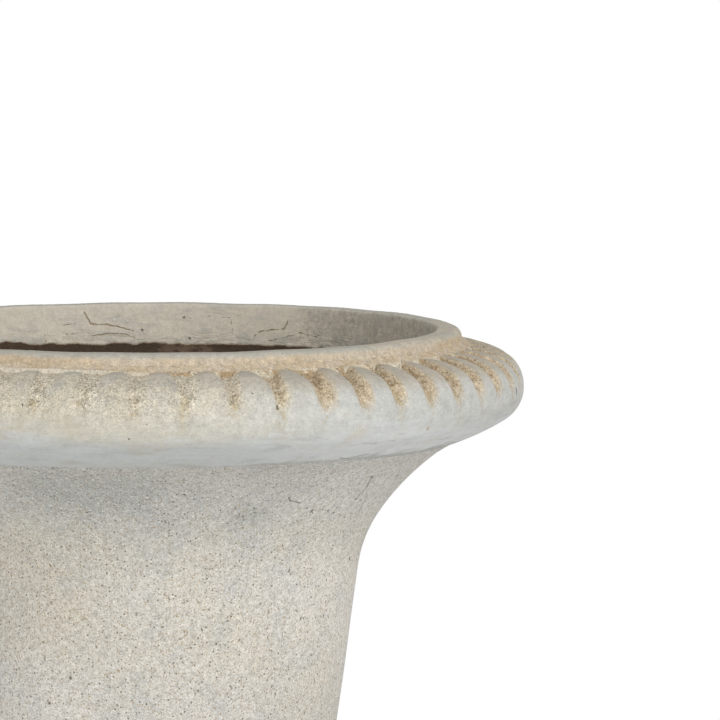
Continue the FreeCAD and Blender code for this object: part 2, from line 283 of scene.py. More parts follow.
# ---------------------------------------------------------------- node wiring
class Value:
    """What a node puts out. The usual signs, and ramp, wire up the next node for it."""

    def __init__(self, wires, socket):
        self.wires, self.socket = wires, socket

    def __add__(self, other):
        return self.wires.math("ADD", self, other)

    def __sub__(self, other):
        return self.wires.math("SUBTRACT", self, other)

    def __rsub__(self, other):
        return self.wires.math("SUBTRACT", other, self)

    def __mul__(self, other):
        return self.wires.math("MULTIPLY", self, other)

    def __truediv__(self, other):
        return self.wires.math("DIVIDE", self, other)

    def __rtruediv__(self, other):
        return self.wires.math("DIVIDE", other, self)

    def ramp(self, low, high, to_low=0.0, to_high=1.0, kind="SMOOTHSTEP"):
        """This brought from low..high to to_low..to_high, held at both ends."""
        feeds = {"Value": self, "From Min": low, "From Max": high, "To Min": to_low, "To Max": to_high}
        return self.wires.output("ShaderNodeMapRange", feeds, "Result", interpolation_type=kind)

    def spread(self, low, high):
        """This brought evenly from 0..1 to low..high."""
        return self.ramp(0.0, 1.0, low, high, "LINEAR")


class Wiring:
    """Adds nodes to one tree and joins them up."""

    def __init__(self, tree):
        self.tree = tree

    def add(self, kind, feeds=None, **settings):
        node = self.tree.nodes.new(kind)
        for name, value in settings.items():
            setattr(node, name, value)
        for key, value in (feeds or {}).items():
            self.feed(node.inputs[key], value)
        return node

    def feed(self, socket, value):
        if isinstance(value, Value):
            self.tree.links.new(value.socket, socket)
        else:
            socket.default_value = (*value, 1.0) if socket.type == "RGBA" else value

    def output(self, kind, feeds=None, name=0, **settings):
        """What a new node puts out at the socket named."""
        return Value(self, self.add(kind, feeds, **settings).outputs[name])

    def end(self, outputs):
        self.add("NodeGroupOutput", outputs)
        return self.tree

    def math(self, operation, *values):
        return self.output("ShaderNodeMath", dict(enumerate(values)), operation=operation)

    def vector(self, operation, *values, name="Vector"):
        return self.output("ShaderNodeVectorMath", dict(enumerate(values)), name, operation=operation)

    def scaled(self, vector, factor):
        return self.output("ShaderNodeVectorMath", {0: vector, "Scale": factor}, operation="SCALE")

    def mix(self, share, first, second, blend="MIX"):
        return self.output("ShaderNodeMix", {"Factor": share, 6: first, 7: second}, 2, data_type="RGBA",
                           blend_type=blend, clamp_factor=True)

    def noise(self, place, scale, detail=2.0, roughness=0.5, distortion=0.0, name="Fac"):
        feeds = {"Vector": place, "Scale": scale, "Detail": detail, "Roughness": roughness,
                 "Distortion": distortion}
        return self.output("ShaderNodeTexNoise", feeds, name)

    def cells(self, place, scale):
        """Scattered cells: the distance to the nearest one's middle, and two chance numbers of its own."""
        cells = self.add("ShaderNodeTexVoronoi", {"Vector": place, "Scale": scale}).outputs
        chances = self.add("ShaderNodeSeparateColor", {"Color": Value(self, cells["Color"])}).outputs
        return [Value(self, socket) for socket in (cells["Distance"], chances[0], chances[1])]


def new_tree(kind, name, inputs, outputs):
    """The wiring of a new node tree with these sockets, and what the tree is given, by name."""
    tree = bpy.data.node_groups.new(name, kind)
    for side, sockets in (("INPUT", inputs), ("OUTPUT", outputs)):
        for label, socket in sockets.items():
            tree.interface.new_socket(label, in_out=side, socket_type="NodeSocket" + socket)
    wires = Wiring(tree)
    return wires, {socket.name: Value(wires, socket) for socket in wires.add("NodeGroupInput").outputs}


# ---------------------------------------------------------------- geometry trees
def new_geometry_tree(name, sizes):
    inputs = {"Geometry": "Geometry", **dict.fromkeys(sizes, "Float"), "Material": "Material"}
    return new_tree("GeometryNodeTree", name, inputs, {"Geometry": "Geometry"})


def end_tree(wires, geometry, given):
    """The closing nodes that every geometry tree here has."""
    real = wires.output("GeometryNodeRealizeInstances", {"Geometry": geometry})
    dressed = wires.output("GeometryNodeSetMaterial", {"Geometry": real, "Material": given["Material"]})
    return wires.end({"Geometry": dressed})


def shifted(wires, geometry, offset):
    return wires.output("GeometryNodeSetPosition", {"Geometry": geometry, "Offset": offset})


def named(wires, name):
    return wires.output("GeometryNodeInputNamedAttribute", {"Name": name}, data_type="FLOAT")


def either_way(noise, reach):
    """Noise, which lies about a half, made to run from -reach to reach."""
    return (noise - 0.5) * 2.0 * reach


def lumps(wires, given):
    """How far the hand-finished surface stands off its true form: slow lumps and fine grain."""
    place = wires.vector("ADD", wires.output("GeometryNodeInputPosition"), given["Seed"])
    slow = wires.noise(place, 1.0 / given["Lump Size"], 1.0)
    fine = wires.noise(place, 1.0 / given["Grain Size"], 2.0, 0.6)
    return either_way(slow, given["Lump Height"]) + either_way(fine, given["Grain Height"])


def cast_surface_tree():
    """Moves a true form's surface in and out as a hand-finished casting's is."""
    wires, given = new_geometry_tree("cast_surface", CASTING)
    outward = wires.scaled(wires.output("GeometryNodeInputNormal"), lumps(wires, given))
    # a torn edge runs up and down; the attribute says how much of it each point has
    level = wires.vector("MULTIPLY", wires.output("GeometryNodeInputPosition"), (1.0, 1.0, 0.0))
    torn = wires.noise(level, 1.0 / given["Ragged Size"], 4.0, 0.62)
    rise = either_way(torn, given["Ragged Height"]) * named(wires, "edge")
    upward = wires.output("ShaderNodeCombineXYZ", {"Z": rise})
    moved = shifted(wires, given["Geometry"], wires.vector("ADD", outward, upward))
    return end_tree(wires, moved, given)


def fluted_roll_tree():
    """Cuts the lobes' grooves into the turned roll, and writes where they lie for its material."""
    wires, given = new_geometry_tree("fluted_roll", [*FLUTES, *CASTING])
    turn, along = named(wires, "turn"), named(wires, "along")

    def wave(start, waves=1.0):
        return (turn - start) * waves * (2 * math.pi)

    # bold on one side of the urn, worn on another
    worn = wires.math("COSINE", wave(given["Worn Turn"])).ramp(0.5, 0.95)
    bold = wires.math("COSINE", wave(given["Bold Turn"])).ramp(0.5, 0.95)
    drift = wires.math("SINE", wave(given["Drift Start"], given["Drift Waves"])) * given["Drift"]
    lean = given["Lean"] * along.ramp(0.0, given["Lean Length"], 1.0, 0.0)
    lobe_place = (turn - (given["First Groove"] + drift + lean)) * given["Lobe Count"]
    share = wires.math("FRACT", lobe_place)
    # each lobe is a little different from the next
    number = wires.math("FLOOR", lobe_place)
    luck = wires.output("ShaderNodeTexWhiteNoise", {"W": number}, "Value", noise_dimensions="1D")
    # a lobe is a round-headed tongue: its right edge swings in towards the top
    near_top = 1.0 - along.ramp(0.0, given["Head Length"], kind="LINEAR")
    head = near_top * near_top * given["Head Width"] * luck.spread(0.75, 1.2)
    edge = 1.0 - (given["Floor Width"] + bold * 0.06 + head)
    shoulder = edge - given["Steep Side"]
    gentle = given["Gentle Side"] * luck.spread(1.2, 0.8)
    lobe = share.ramp(0.0, gentle) * share.ramp(shoulder, edge, 1.0, 0.0)
    fade = along.ramp(given["Fade Start"], given["Fade End"], 1.0, 0.0) * along.ramp(-12 * MM, -6 * MM)
    keep = 1.0 - worn * given["Wear"]
    depth = given["Groove Depth"] * (keep + bold * 0.2) * fade * luck.spread(1.15, 0.85)
    groove = (1.0 - lobe) * fade
    sand = wires.noise(wires.output("GeometryNodeInputPosition"), 1 / (3.2 * MM), 2.0, 0.6)
    rough = either_way(sand, given["Groove Grain"]) * (groove + worn * fade * 0.7)
    crown = wires.math("SINE", share * math.pi) * given["Crown"] * fade
    height = depth * (lobe - 1.0) + crown + rough + lumps(wires, given)
    # rain has washed sand and stain out of each groove and down the roll
    from_foot = wires.math("ABSOLUTE", wires.math("FRACT", share + 0.54) - 0.5)
    drip = (from_foot.ramp(0.02, 0.16, 1.0, 0.0) * along.ramp(24 * MM, 46 * MM)
            * along.ramp(luck.spread(58 * MM, 84 * MM), 50 * MM))
    # where each lobe's steep flank falls, kept for the painted shade there
    flank_shade = fade * share.ramp(shoulder - 0.05, shoulder + 0.04)
    geometry = given["Geometry"]
    for name, value in {"groove": groove, "drip": drip, "worn": worn, "bold": bold, "flank_shade": flank_shade}.items():
        feeds = {"Geometry": geometry, "Name": name, "Value": value}
        geometry = wires.output("GeometryNodeStoreNamedAttribute", feeds, data_type="FLOAT", domain="POINT")
    offset = wires.scaled(wires.output("GeometryNodeInputNormal"), height)
    return end_tree(wires, shifted(wires, geometry, offset), given)


def thread_tree():
    """Cuts a screw thread into a turned rod, between two heights."""
    wires, given = new_geometry_tree("screw_thread", ["Pitch", "Depth", "Thread Top", "Thread Foot"])
    along, top, foot = named(wires, "along"), given["Thread Top"], given["Thread Foot"]
    winding = wires.math("FRACT", along / given["Pitch"] - named(wires, "turn"))
    valley = wires.math("ABSOLUTE", winding - 0.5)
    ends = along.ramp(top, top - 1 * MM) * along.ramp(foot, foot + 1 * MM)
    depth = valley.ramp(0.04, 0.44, kind="LINEAR") * ends * given["Depth"] * -1.0
    level = wires.vector("MULTIPLY", wires.output("GeometryNodeInputPosition"), (1.0, 1.0, 0.0))
    offset = wires.scaled(wires.vector("NORMALIZE", level), depth)
    return end_tree(wires, shifted(wires, given["Geometry"], offset), given)


def grit_tree():
    """Scatters sand grains over a surface, as thick as its grit attribute says."""
    wires, given = new_geometry_tree("loose_grit", ["Grains Per Area", "Grain Radius", "Seed"])
    density = named(wires, "grit") * given["Grains Per Area"]
    feeds = {"Mesh": given["Geometry"], "Density": density, "Seed": given["Seed"]}
    points = wires.output("GeometryNodeDistributePointsOnFaces", feeds, "Points")
    grain = wires.output("GeometryNodeMeshIcoSphere", {"Radius": given["Grain Radius"], "Subdivisions": 1})

    def chance(seed, least, most):
        feeds = {0: least, 1: most, "Seed": seed}
        return wires.output("FunctionNodeRandomValue", feeds, data_type="FLOAT_VECTOR")

    grains = wires.output("GeometryNodeInstanceOnPoints", {
        "Points": points, "Instance": grain, "Rotation": chance(5, (0.0, 0.0, 0.0), (0.6, 0.6, 6.28)),
        "Scale": chance(3, (0.45, 0.45, 0.3), (1.35, 1.25, 0.8)),
    })
    return end_tree(wires, grains, given)


# ---------------------------------------------------------------- shader groups
def new_shader_group(name, sizes, outputs, places=()):
    inputs = {**dict.fromkeys(["Vector", *places], "Vector"), **dict.fromkeys(sizes, "Float")}
    return new_tree("ShaderNodeTree", name, inputs, dict.fromkeys(outputs, "Float"))


def sandy_grain_group():
    """Sand in the cement: Tone is light and dark about 0, Height is its relief."""
    wires, given = new_shader_group("sandy_grain", ["Grain"], ["Tone", "Height"])
    surface, scale = given["Vector"], 1.0 / given["Grain"]
    fine = wires.noise(surface, scale, 3.0, 0.65)
    coarse = wires.noise(surface, scale * 0.3, 2.0, 0.6)
    _, sand, _ = wires.cells(surface, scale * 1.3)
    tone = (fine - 0.5) * 3.0 + (coarse - 0.5) * 1.8 + (sand - 0.5) * 0.9
    return wires.end({"Tone": tone, "Height": fine * 0.7 + coarse * 0.5 + sand * 0.25})


def air_pits_group():
    """Burst air bubbles: Mask is 1 inside a pit."""
    wires, given = new_shader_group("air_pits", ["Spacing", "Size", "Share"], ["Mask"])
    surface, scale = given["Vector"], 1.0 / given["Spacing"]
    bend = wires.noise(surface, scale * 2.5, 1.0, name="Color")
    place = wires.vector("ADD", surface, wires.scaled(bend, given["Spacing"] * 0.35))
    distance, present, size = wires.cells(place, scale)
    reach = given["Size"] * size.spread(0.4, 1.0)
    inside = distance.ramp(reach * 0.6, reach, 1.0, 0.0)
    return wires.end({"Mask": inside * wires.math("LESS_THAN", present, given["Share"])})


def scratch_group():
    """A hairline from one point to another: Mask is 1 along it. With both the same it is a round spot."""
    wires, given = new_shader_group("scratch", ["Width", "Wobble"], ["Mask"], ["From", "To"])
    surface, start = given["Vector"], given["From"]
    bend = wires.vector("SUBTRACT", wires.noise(surface, 1 / (6 * MM), name="Color"), (0.5, 0.5, 0.5))
    place = wires.vector("ADD", surface, wires.scaled(bend, given["Wobble"]))
    way = wires.vector("SUBTRACT", given["To"], start)
    off = wires.vector("SUBTRACT", place, start)
    reached = wires.vector("DOT_PRODUCT", off, way, name="Value")
    whole = wires.vector("DOT_PRODUCT", way, way, name="Value")
    share = (reached / wires.math("MAXIMUM", whole, 1e-9)).spread(0.0, 1.0)
    distance = wires.vector("DISTANCE", off, wires.scaled(way, share), name="Value")
    half = given["Width"] * wires.noise(surface, 1 / (3 * MM), 1.0).ramp(0.35, 0.62, 0.28, 0.6)
    return wires.end({"Mask": distance.ramp(half * 0.4, half * 1.3, 1.0, 0.0)})


GROUPS = {"grain": sandy_grain_group(), "pits": air_pits_group(), "scratch": scratch_group()}


def on_ring(angle, radius, height):
    """A point of the urn, from degrees round it, radius and height in millimetres."""
    turn = math.radians(angle)
    return (radius * MM * math.sin(turn), -radius * MM * math.cos(turn), height * MM)


class Finish(Wiring):
    """A material with one Principled shader. Each coat goes over the colour that is there."""

    def __init__(self, name, roughness, base=None):
        self.material = bpy.data.materials.new(name)
        self.material.use_nodes = True
        super().__init__(self.material.node_tree)
        self.shader = self.tree.nodes["Principled BSDF"]
        self.shader.inputs["Roughness"].default_value = roughness
        self.place = self.output("ShaderNodeTexCoord", name="Object")
        self.across, _, self.height = (self.output("ShaderNodeSeparateXYZ", {"Vector": self.place}, name)
                                       for name in "XYZ")
        self.base = base

    def group(self, name, sizes):
        """What a shader group puts out on this surface, by name."""
        node = self.add("ShaderNodeGroup", {}, node_tree=GROUPS[name])
        for key, value in {"Vector": self.place, **sizes}.items():
            self.feed(node.inputs[key], value)
        return {socket.name: Value(self, socket) for socket in node.outputs}

    def pits(self, spacing, size, share):
        return self.group("pits", {"Spacing": spacing, "Size": size, "Share": share})["Mask"]

    def marks(self, marks, wobble=0.8 * MM):
        """Hairlines and spots together. A mark is (width, (angle, radius, height) of each of its points)."""
        total = 0.0
        for width, *points in marks:
            for start, stop in zip(points, points[1:] or points):
                sizes = {"From": on_ring(*start), "To": on_ring(*stop), "Width": width * MM, "Wobble": wobble}
                total = self.math("MAXIMUM", total, self.group("scratch", sizes)["Mask"])
        return total

    def reading(self, name):
        return self.output("ShaderNodeAttribute", name="Fac", attribute_name=name)

    def patchy(self, scale, detail, roughness, distortion=0.0, flatness=1.0):
        """Patches from 0 to 1, drawn out level where flatness is over 1, as a trowel leaves them."""
        place = self.place
        if flatness > 1:
            place = self.vector("MULTIPLY", place, (1.0, 1.0, flatness))
        return self.noise(place, scale, detail, roughness, distortion)

    def toned(self, base, tone, strength):
        """base made lighter and darker by tone."""
        level = tone * strength + 1.0
        grey = self.output("ShaderNodeCombineColor", {0: level, 1: level, 2: level})
        return self.mix(1.0, base, grey, "MULTIPLY")

    def coat(self, share, paint):
        """Lays paint over what is there, as thick as share says."""
        self.base = self.mix(share, self.base, paint)

    def shade(self, tone, strength):
        self.base = self.toned(self.base, tone, strength)

    def sanded(self, size, strength):
        """Shades with sand grains of a size, and keeps their tone and relief for what follows."""
        grain = self.group("grain", {"Grain": size})
        self.tone, self.sand = grain["Tone"], grain["Height"]
        self.shade(self.tone, strength)

    def dark_inside(self, paint):
        """Paints the faces that are hidden inside the urn a darker brown: partly the raw cement inside,
        partly painted shade.
        """
        self.coat(self.reading("inside"), self.toned(paint, self.tone, 0.3))

    def close(self, relief, depth):
        """Joins the colour, and relief of a depth in metres, to the shader."""
        bump = self.output("ShaderNodeBump", {"Strength": 1.0, "Distance": depth, "Height": relief})
        self.feed(self.shader.inputs["Base Color"], self.base)
        self.feed(self.shader.inputs["Normal"], bump)
        return self.material


# ---------------------------------------------------------------- finishes
# near-black painted shade for the depth of pits and cracks
SHADE, PIT_SHADE = (0.38, 0.315, 0.26), (0.10, 0.08, 0.055)
BAND_TAN, BAND_PEACH = (0.50, 0.40, 0.27), (0.52, 0.44, 0.335)

# chance marks of the casting, and patches of painted light and shade: width in mm, then (degrees, radius,
# height in mm) along each
WALL_CRACKS = [
    (1.3, (-166.4, 215, 648), (-167.7, 215, 638.8), (-170.6, 215, 638.2), (-174, 215, 636),
     (-176.5, 215, 633)),
    (0.9, (-167.7, 215, 630), (-172, 215, 631), (-175.2, 215, 630.4), (-177.7, 215, 626.5)),
    (0.6, (-161.7, 215, 638.7), (-164.7, 215, 639.2)),
    (0.6, (-157.8, 215, 631), (-165.1, 215, 631.8)),
    (0.6, (168, 215, 644.6), (163.1, 215, 644.2), (162.7, 215, 632.6)),
    (1.1, (157.9, 215, 630), (156.6, 215, 634), (151.1, 215, 636.6), (150.4, 215, 642.5)),
    (1.1, (154.8, 215, 626.5), (147.3, 215, 633.7), (142.8, 215, 631.4)),
]
WALL_PITS = [
    (2.2, (173, 215, 643.6)), (2.4, (-178.3, 215, 633.8)), (1.4, (171.6, 215, 642.9)),
    (1.6, (-158, 215, 626.4)), (2.2, (171.8, 215, 627.3)), (1.8, (143, 215, 632.9)),
]
WALL_BUBBLES = [
    (2.4, (-172.5, 215, 641.8)), (2.2, (-175.4, 215, 640.9)), (2.0, (164.6, 215, 646.4)),
    (2.4, (-178.9, 215, 632)),
]
# painted shade on the inner wall's back right stretch, which faces away from the light
WALL_PAINTED_SHADE = [(60, (140, 215, 640), (118, 215, 640)), (50, (118, 215, 640), (90, 215, 640))]
TOP_TAN = [(70, (100, 228, 650), (75, 230, 650)), (60, (75, 230, 650), (50, 230, 650))]
ROLL_PITS = [
    (1.9, (19.2, 279.1, 616.5), (19.2, 278.6, 618.6)), (2.4, (11.9, 257.5, 635.1)),
    (1.8, (12.1, 275.1, 624.4)), (1.6, (5.2, 279.9, 615.5), (5.2, 279.4, 618.5)),
    (1.5, (-10.5, 269.2, 629.3)), (1.6, (-2.6, 244.6, 637.5)), (2.2, (76, 280.4, 613.5), (76.2, 280, 609)),
    (2.2, (77.2, 279.3, 602.5)), (2.0, (47.8, 266.1, 629)),
    (1.2, (35, 240.3, 574.2), (37.5, 237, 573), (38.6, 242, 574.8), (40.5, 245.1, 576.1)),
]
HOLLOW_LIGHTS = [
    (14, (177, 266, 600), (177, 266, 630)), (18, (174, 266, 600), (174, 266, 630)),
    (12, (170.5, 266, 600), (170.5, 266, 630)),
]
ROLL_SPOTS = [(4.5, (47.3, 275.8, 594.6))]
BOWL_CRACKS = [
    (1.2, (31.6, 193.3, 542), (32.5, 190.5, 539.1), (35.8, 188.3, 536.7)),
    (1.3, (54.3, 186.8, 535.1), (54.6, 195.9, 544.5), (52.7, 205.0, 552.8)),
    (1.0, (60.1, 177.6, 524), (59.3, 186.7, 535)),
    (1.2, (-31.6, 148.7, 422.4), (-31.7, 148.1, 417.9)),
]
BOWL_PITS = [
    (3.4, (40.7, 181.7, 529.2)), (2.5, (48.9, 178.9, 525.7)), (2.0, (46.3, 181.0, 528.3)),
    (2.2, (38.7, 183.8, 531.7)), (3.9, (65.3, 201.3, 549.6)), (2.7, (69.8, 158.0, 485.1)),
    (2.5, (40.4, 157.6, 483.4)), (3.0, (52.7, 205.0, 552.8)), (2.8, (54.3, 186.8, 535.1)),
    (3.0, (-23.6, 146.5, 405.9)), (2.5, (-31.2, 143.7, 385.7)), (1.8, (-43.2, 151.8, 444.6)),
]
BOWL_SMUDGES = [(7.0, (-0.5, 209.3, 556.3)), (4.0, (-4, 211.4, 558)), (4.5, (-30.2, 195.9, 544.5))]
# painted shade: darker patches on the body just under the roll, at the left and middle
BOWL_PAINTED_SHADE = [(70, (-22, 205, 552), (-4, 205, 548)), (60, (-52, 190, 535)), (34, (24, 180, 530))]
# painted light: paler patches on the body's right side and low on its left
BOWL_PAINTED_LIGHT = [
    (150, (52, 205, 552), (95, 200, 545)), (150, (60, 165, 460), (95, 160, 440)),
    (110, (-75, 140, 380), (-35, 140, 380)),
]


def bowl_cement():
    """Sandy, pitted cream-grey face of the bowl."""
    finish = Finish("bowl_cement", 0.92, (0.575, 0.535, 0.455))
    finish.coat(finish.patchy(9.0, 3.0, 0.55).ramp(0.38, 0.62), (0.55, 0.525, 0.475))
    finish.coat(finish.patchy(30.0, 4.0, 0.62, 0.4).ramp(0.48, 0.68) * 0.55, (0.455, 0.455, 0.435))
    # darker, bluer grey just under the roll: partly the cement's own bluish grey there, partly painted shade
    # under the overhang
    under_roll = finish.height.ramp(BOWL_HIGH.z - 90 * MM, BOWL_HIGH.z - 4 * MM)
    finish.coat(under_roll * 0.55, (0.47, 0.475, 0.46))
    # painted shade just under the roll, where the overhang keeps light off
    finish.coat(finish.marks(BOWL_PAINTED_SHADE, 25 * MM) * 0.6, (0.375, 0.38, 0.365))
    # painted light on the right side and low on the left
    finish.coat(finish.marks(BOWL_PAINTED_LIGHT, 40 * MM) * 0.36, (0.74, 0.715, 0.68))
    finish.sanded(1.15 * MM, 0.36)
    pale_sand, tan_sand = finish.pits(2.2 * MM, 0.42, 0.45), finish.pits(1.9 * MM, 0.46, 0.55)
    dark_sand = finish.pits(2.7 * MM, 0.32, 0.5)
    finish.coat(pale_sand * 0.75, (0.82, 0.80, 0.75))
    finish.coat(tan_sand * 0.8, (0.42, 0.30, 0.165))
    finish.coat(dark_sand * 0.85, (0.17, 0.13, 0.085))
    finish.coat(finish.marks(BOWL_SMUDGES, 5 * MM) * 0.45, (0.60, 0.61, 0.60))
    cracks, holes = finish.marks(BOWL_CRACKS), finish.marks(BOWL_PITS, 0.4 * MM)
    hollows = cracks * 0.7 + holes + finish.pits(13 * MM, 0.085, 0.25)
    # painted shade: near-black in the pits and cracks
    finish.coat(hollows * 0.8, PIT_SHADE)
    finish.dark_inside(SHADE)
    relief = finish.sand - dark_sand * 0.8 - tan_sand * 0.35 + pale_sand * 0.3 - hollows * 1.5
    return finish.close(relief, 0.5 * MM)


def roll_cement():
    """The roll: smooth grey lobes, brown sandy grooves, a cream middle and a smooth bluish underside."""
    finish = Finish("roll_cement", 0.85)
    along, groove, worn, bold = (finish.reading(name) for name in ("along", "groove", "worn", "bold"))
    clouds, patches = finish.patchy(11.0, 3.0, 0.6), finish.patchy(40.0, 3.0, 0.6, 0.6)
    wander = along + (clouds - 0.5) * (24 * MM)
    cloudy = clouds.ramp(0.35, 0.65)
    finish.base = finish.mix(cloudy, (0.40, 0.365, 0.30), (0.385, 0.36, 0.31))
    lobe = finish.mix(cloudy, (0.465, 0.43, 0.355), (0.445, 0.425, 0.37))
    finish.coat(wander.ramp(4 * MM, worn.ramp(0.0, 1.0, 42 * MM, 20 * MM)), lobe)
    finish.coat(bold * 0.5, (0.365, 0.32, 0.25))
    finish.coat(wander.ramp(30 * MM, 50 * MM), finish.mix(worn, (0.485, 0.485, 0.455), (0.515, 0.485, 0.405)))
    # bluish grey underside, painted lighter on the bold side to the right: painted light
    finish.coat(wander.ramp(68 * MM, 88 * MM), finish.mix(bold, (0.515, 0.53, 0.52), (0.67, 0.68, 0.67)))
    # the trowel's strokes along the underside
    strokes = finish.patchy(24.0, 4.0, 0.65, 0.3, flatness=6.0)
    stroke_zone = wander.ramp(52 * MM, 78 * MM)
    finish.coat(stroke_zone * strokes.ramp(0.50, 0.62) * 0.55, (0.555, 0.575, 0.575))
    finish.coat(stroke_zone * strokes.ramp(0.46, 0.36) * 0.5, (0.40, 0.41, 0.40))
    finish.coat(patches.ramp(0.52, 0.75) * 0.35, (0.50, 0.43, 0.32))
    # painted shade on each lobe's steep flank, weaker on the worn side
    finish.coat(finish.reading("flank_shade") * worn.ramp(0.0, 1.0, 0.42, 0.2), (0.30, 0.27, 0.215))
    # sand bared over whole lobes on the worn side, then on the grooves' floors
    bared = worn * wander.ramp(8 * MM, 20 * MM) * wander.ramp(66 * MM, 46 * MM)
    finish.coat(bared * patches.ramp(0.36, 0.58) * 0.7, (0.56, 0.50, 0.385))
    wide_groove = groove + bold.ramp(0.0, 1.0, 0.0, 0.25)
    floor = wide_groove.ramp(0.06, 0.55) * groove.ramp(0.0, 0.08) * along.ramp(62 * MM, 44 * MM)
    floor_sand = finish.mix(bold, (0.65, 0.54, 0.375), (0.59, 0.48, 0.33))
    floor_sand = finish.mix(worn.ramp(0.0, 0.6), floor_sand, (0.65, 0.585, 0.46))
    finish.coat(floor * worn.ramp(0.0, 1.0, 0.9, 0.8), floor_sand)
    # brown stain in the grooves, washed down in drips
    speckle = finish.patchy(170.0, 4.0, 0.75)
    stain = (wide_groove.ramp(0.22, 0.8) * speckle.ramp(0.46, 0.59) * along.ramp(56 * MM, 10 * MM, 0.45, 0.95)
             * worn.ramp(0.0, 0.8, 1.0, 0.1))
    finish.coat(stain * 0.9, (0.32, 0.215, 0.11))
    finish.coat(finish.reading("drip") * speckle.ramp(0.42, 0.58) * 0.75, (0.42, 0.33, 0.19))
    blotches = finish.patchy(90.0, 3.0, 0.65, 0.8)
    finish.shade(blotches - 0.5, wander.ramp(62 * MM, 84 * MM, 0.55, 0.2))
    finish.sanded(1.1 * MM, wander.ramp(62 * MM, 84 * MM, 0.17, 0.06) + floor * 0.34 + bared * 0.26)
    specks = finish.pits(2.2 * MM, 0.42, 0.5) * (floor + bared)
    finish.coat(specks * 0.7, finish.mix(worn, (0.20, 0.135, 0.07), (0.31, 0.235, 0.14)))
    # the bowl's sandy slurry laps a little way up the underside
    lap = finish.across * 0.02 + (ROLL_LOW.z + 2 * MM) + (patches - 0.5) * (9 * MM)
    slurry = (finish.height - lap).ramp(-1.5 * MM, 3 * MM, 1.0, 0.0)
    finish.coat(slurry, finish.toned((0.455, 0.455, 0.435), finish.tone, 0.3))
    finish.coat(finish.marks(ROLL_SPOTS, 2 * MM) * 0.6, (0.40, 0.31, 0.17))
    pits = finish.math("MAXIMUM", finish.pits(15 * MM, 0.08, 0.2), finish.marks(ROLL_PITS))
    # painted shade: near-black in the pits
    finish.coat(pits * 0.85, PIT_SHADE)
    finish.dark_inside(finish.mix(finish.marks(HOLLOW_LIGHTS, 3 * MM), SHADE, (0.66, 0.55, 0.45)))
    relief = finish.sand * (floor * 2.2 + 0.45 + bared + slurry) - pits * 1.2 + strokes * stroke_zone * 0.6
    return finish.close(relief, 0.5 * MM)


def lip_cement():
    """The lip: smooth grey inner wall and top, a tan outer band."""
    finish = Finish("lip_cement", 0.8, (0.65, 0.595, 0.485))
    along, clouds = finish.reading("along"), finish.patchy(13.0, 3.0, 0.6)
    trowelled = finish.patchy(26.0, 4.0, 0.62, 1.2, flatness=3.0)
    finish.coat(clouds.ramp(0.35, 0.65), (0.61, 0.565, 0.475))
    finish.coat(trowelled.ramp(0.50, 0.66) * 0.55, (0.46, 0.45, 0.41))
    # painted shade on the back wall's right-hand stretch; rougher and greener towards the skirt's torn foot
    wall_shade = finish.marks(WALL_PAINTED_SHADE, 12 * MM)
    foot = finish.height.ramp(LIP_LOW.z + 15 * MM, LIP_LOW.z + 3 * MM) * trowelled.ramp(0.38, 0.58)
    finish.coat(wall_shade * 0.4, (0.34, 0.315, 0.26))
    finish.coat(foot * 0.5, (0.42, 0.42, 0.37))
    tan_top = finish.marks(TOP_TAN, 15 * MM) * trowelled.ramp(0.35, 0.6) * 0.6
    finish.coat(along.ramp(-3 * MM, 1 * MM), finish.mix(tan_top, (0.405, 0.385, 0.33), (0.52, 0.45, 0.34)))
    wander = along + (finish.patchy(60.0, 2.0, 0.5) - 0.5) * (5 * MM)
    finish.coat(wander.ramp(14.5 * MM, 19 * MM), finish.mix(clouds.ramp(0.4, 0.6), BAND_TAN, BAND_PEACH))
    mottle = finish.patchy(150.0, 3.0, 0.7, 0.4)
    finish.shade(mottle - 0.5, along.ramp(-4 * MM, 20 * MM, 0.3, 0.7) + wall_shade * 0.5)
    finish.sanded(1 * MM, along.ramp(12 * MM, 24 * MM, 0.12, 0.36) + wall_shade * 0.1)
    cracks, bubbles = finish.marks(WALL_CRACKS, 2.8 * MM), finish.marks(WALL_BUBBLES)
    pits = finish.math("MAXIMUM", finish.pits(14 * MM, 0.07, 0.35), finish.marks(WALL_PITS))
    finish.coat(bubbles * 0.45, (0.74, 0.72, 0.66))
    finish.coat(cracks * 0.8, (0.35, 0.255, 0.14))
    # painted shade: near-black in the pits
    finish.coat(pits * 0.8, PIT_SHADE)
    finish.dark_inside(SHADE)
    texture = along.ramp(12 * MM, 24 * MM, 0.4, 1.2) + foot * 1.2
    relief = finish.sand * texture + trowelled * 1.2 - (pits + cracks) * 1.2 + bubbles * 0.8
    return finish.close(relief, 0.5 * MM)


def bedding_mortar():
    """Sandy mortar squeezed out between two castings: peach above, gritty and browner at its lower margin."""
    finish = Finish("bedding_mortar", 0.95, BAND_TAN)
    patches = finish.patchy(70.0, 3.0, 0.65, 0.5)
    low = finish.height.ramp(ROLL_HIGH.z + 1.6 * MM, ROLL_HIGH.z - 0.4 * MM)
    finish.coat(patches.ramp(0.4, 0.6), BAND_PEACH)
    finish.coat(low, finish.mix(patches.ramp(0.42, 0.6), (0.60, 0.54, 0.42), (0.40, 0.29, 0.17)))
    # the worn ledge's cream: partly the sandy mortar's own colour, partly a painted highlight on its proud
    # edge
    finish.coat(finish.reading("ledge").ramp(0.35, 0.8) * 0.8, (0.66, 0.60, 0.49))
    finish.shade(finish.patchy(210.0, 3.0, 0.7, 0.4) - 0.5, 0.7)
    finish.sanded(1 * MM, 0.38)
    specks = finish.pits(2 * MM, 0.40, 0.45) * (low + 0.25)
    finish.coat(specks * 0.7, (0.17, 0.12, 0.07))
    return finish.close(finish.sand - specks * 0.8, 0.6 * MM)


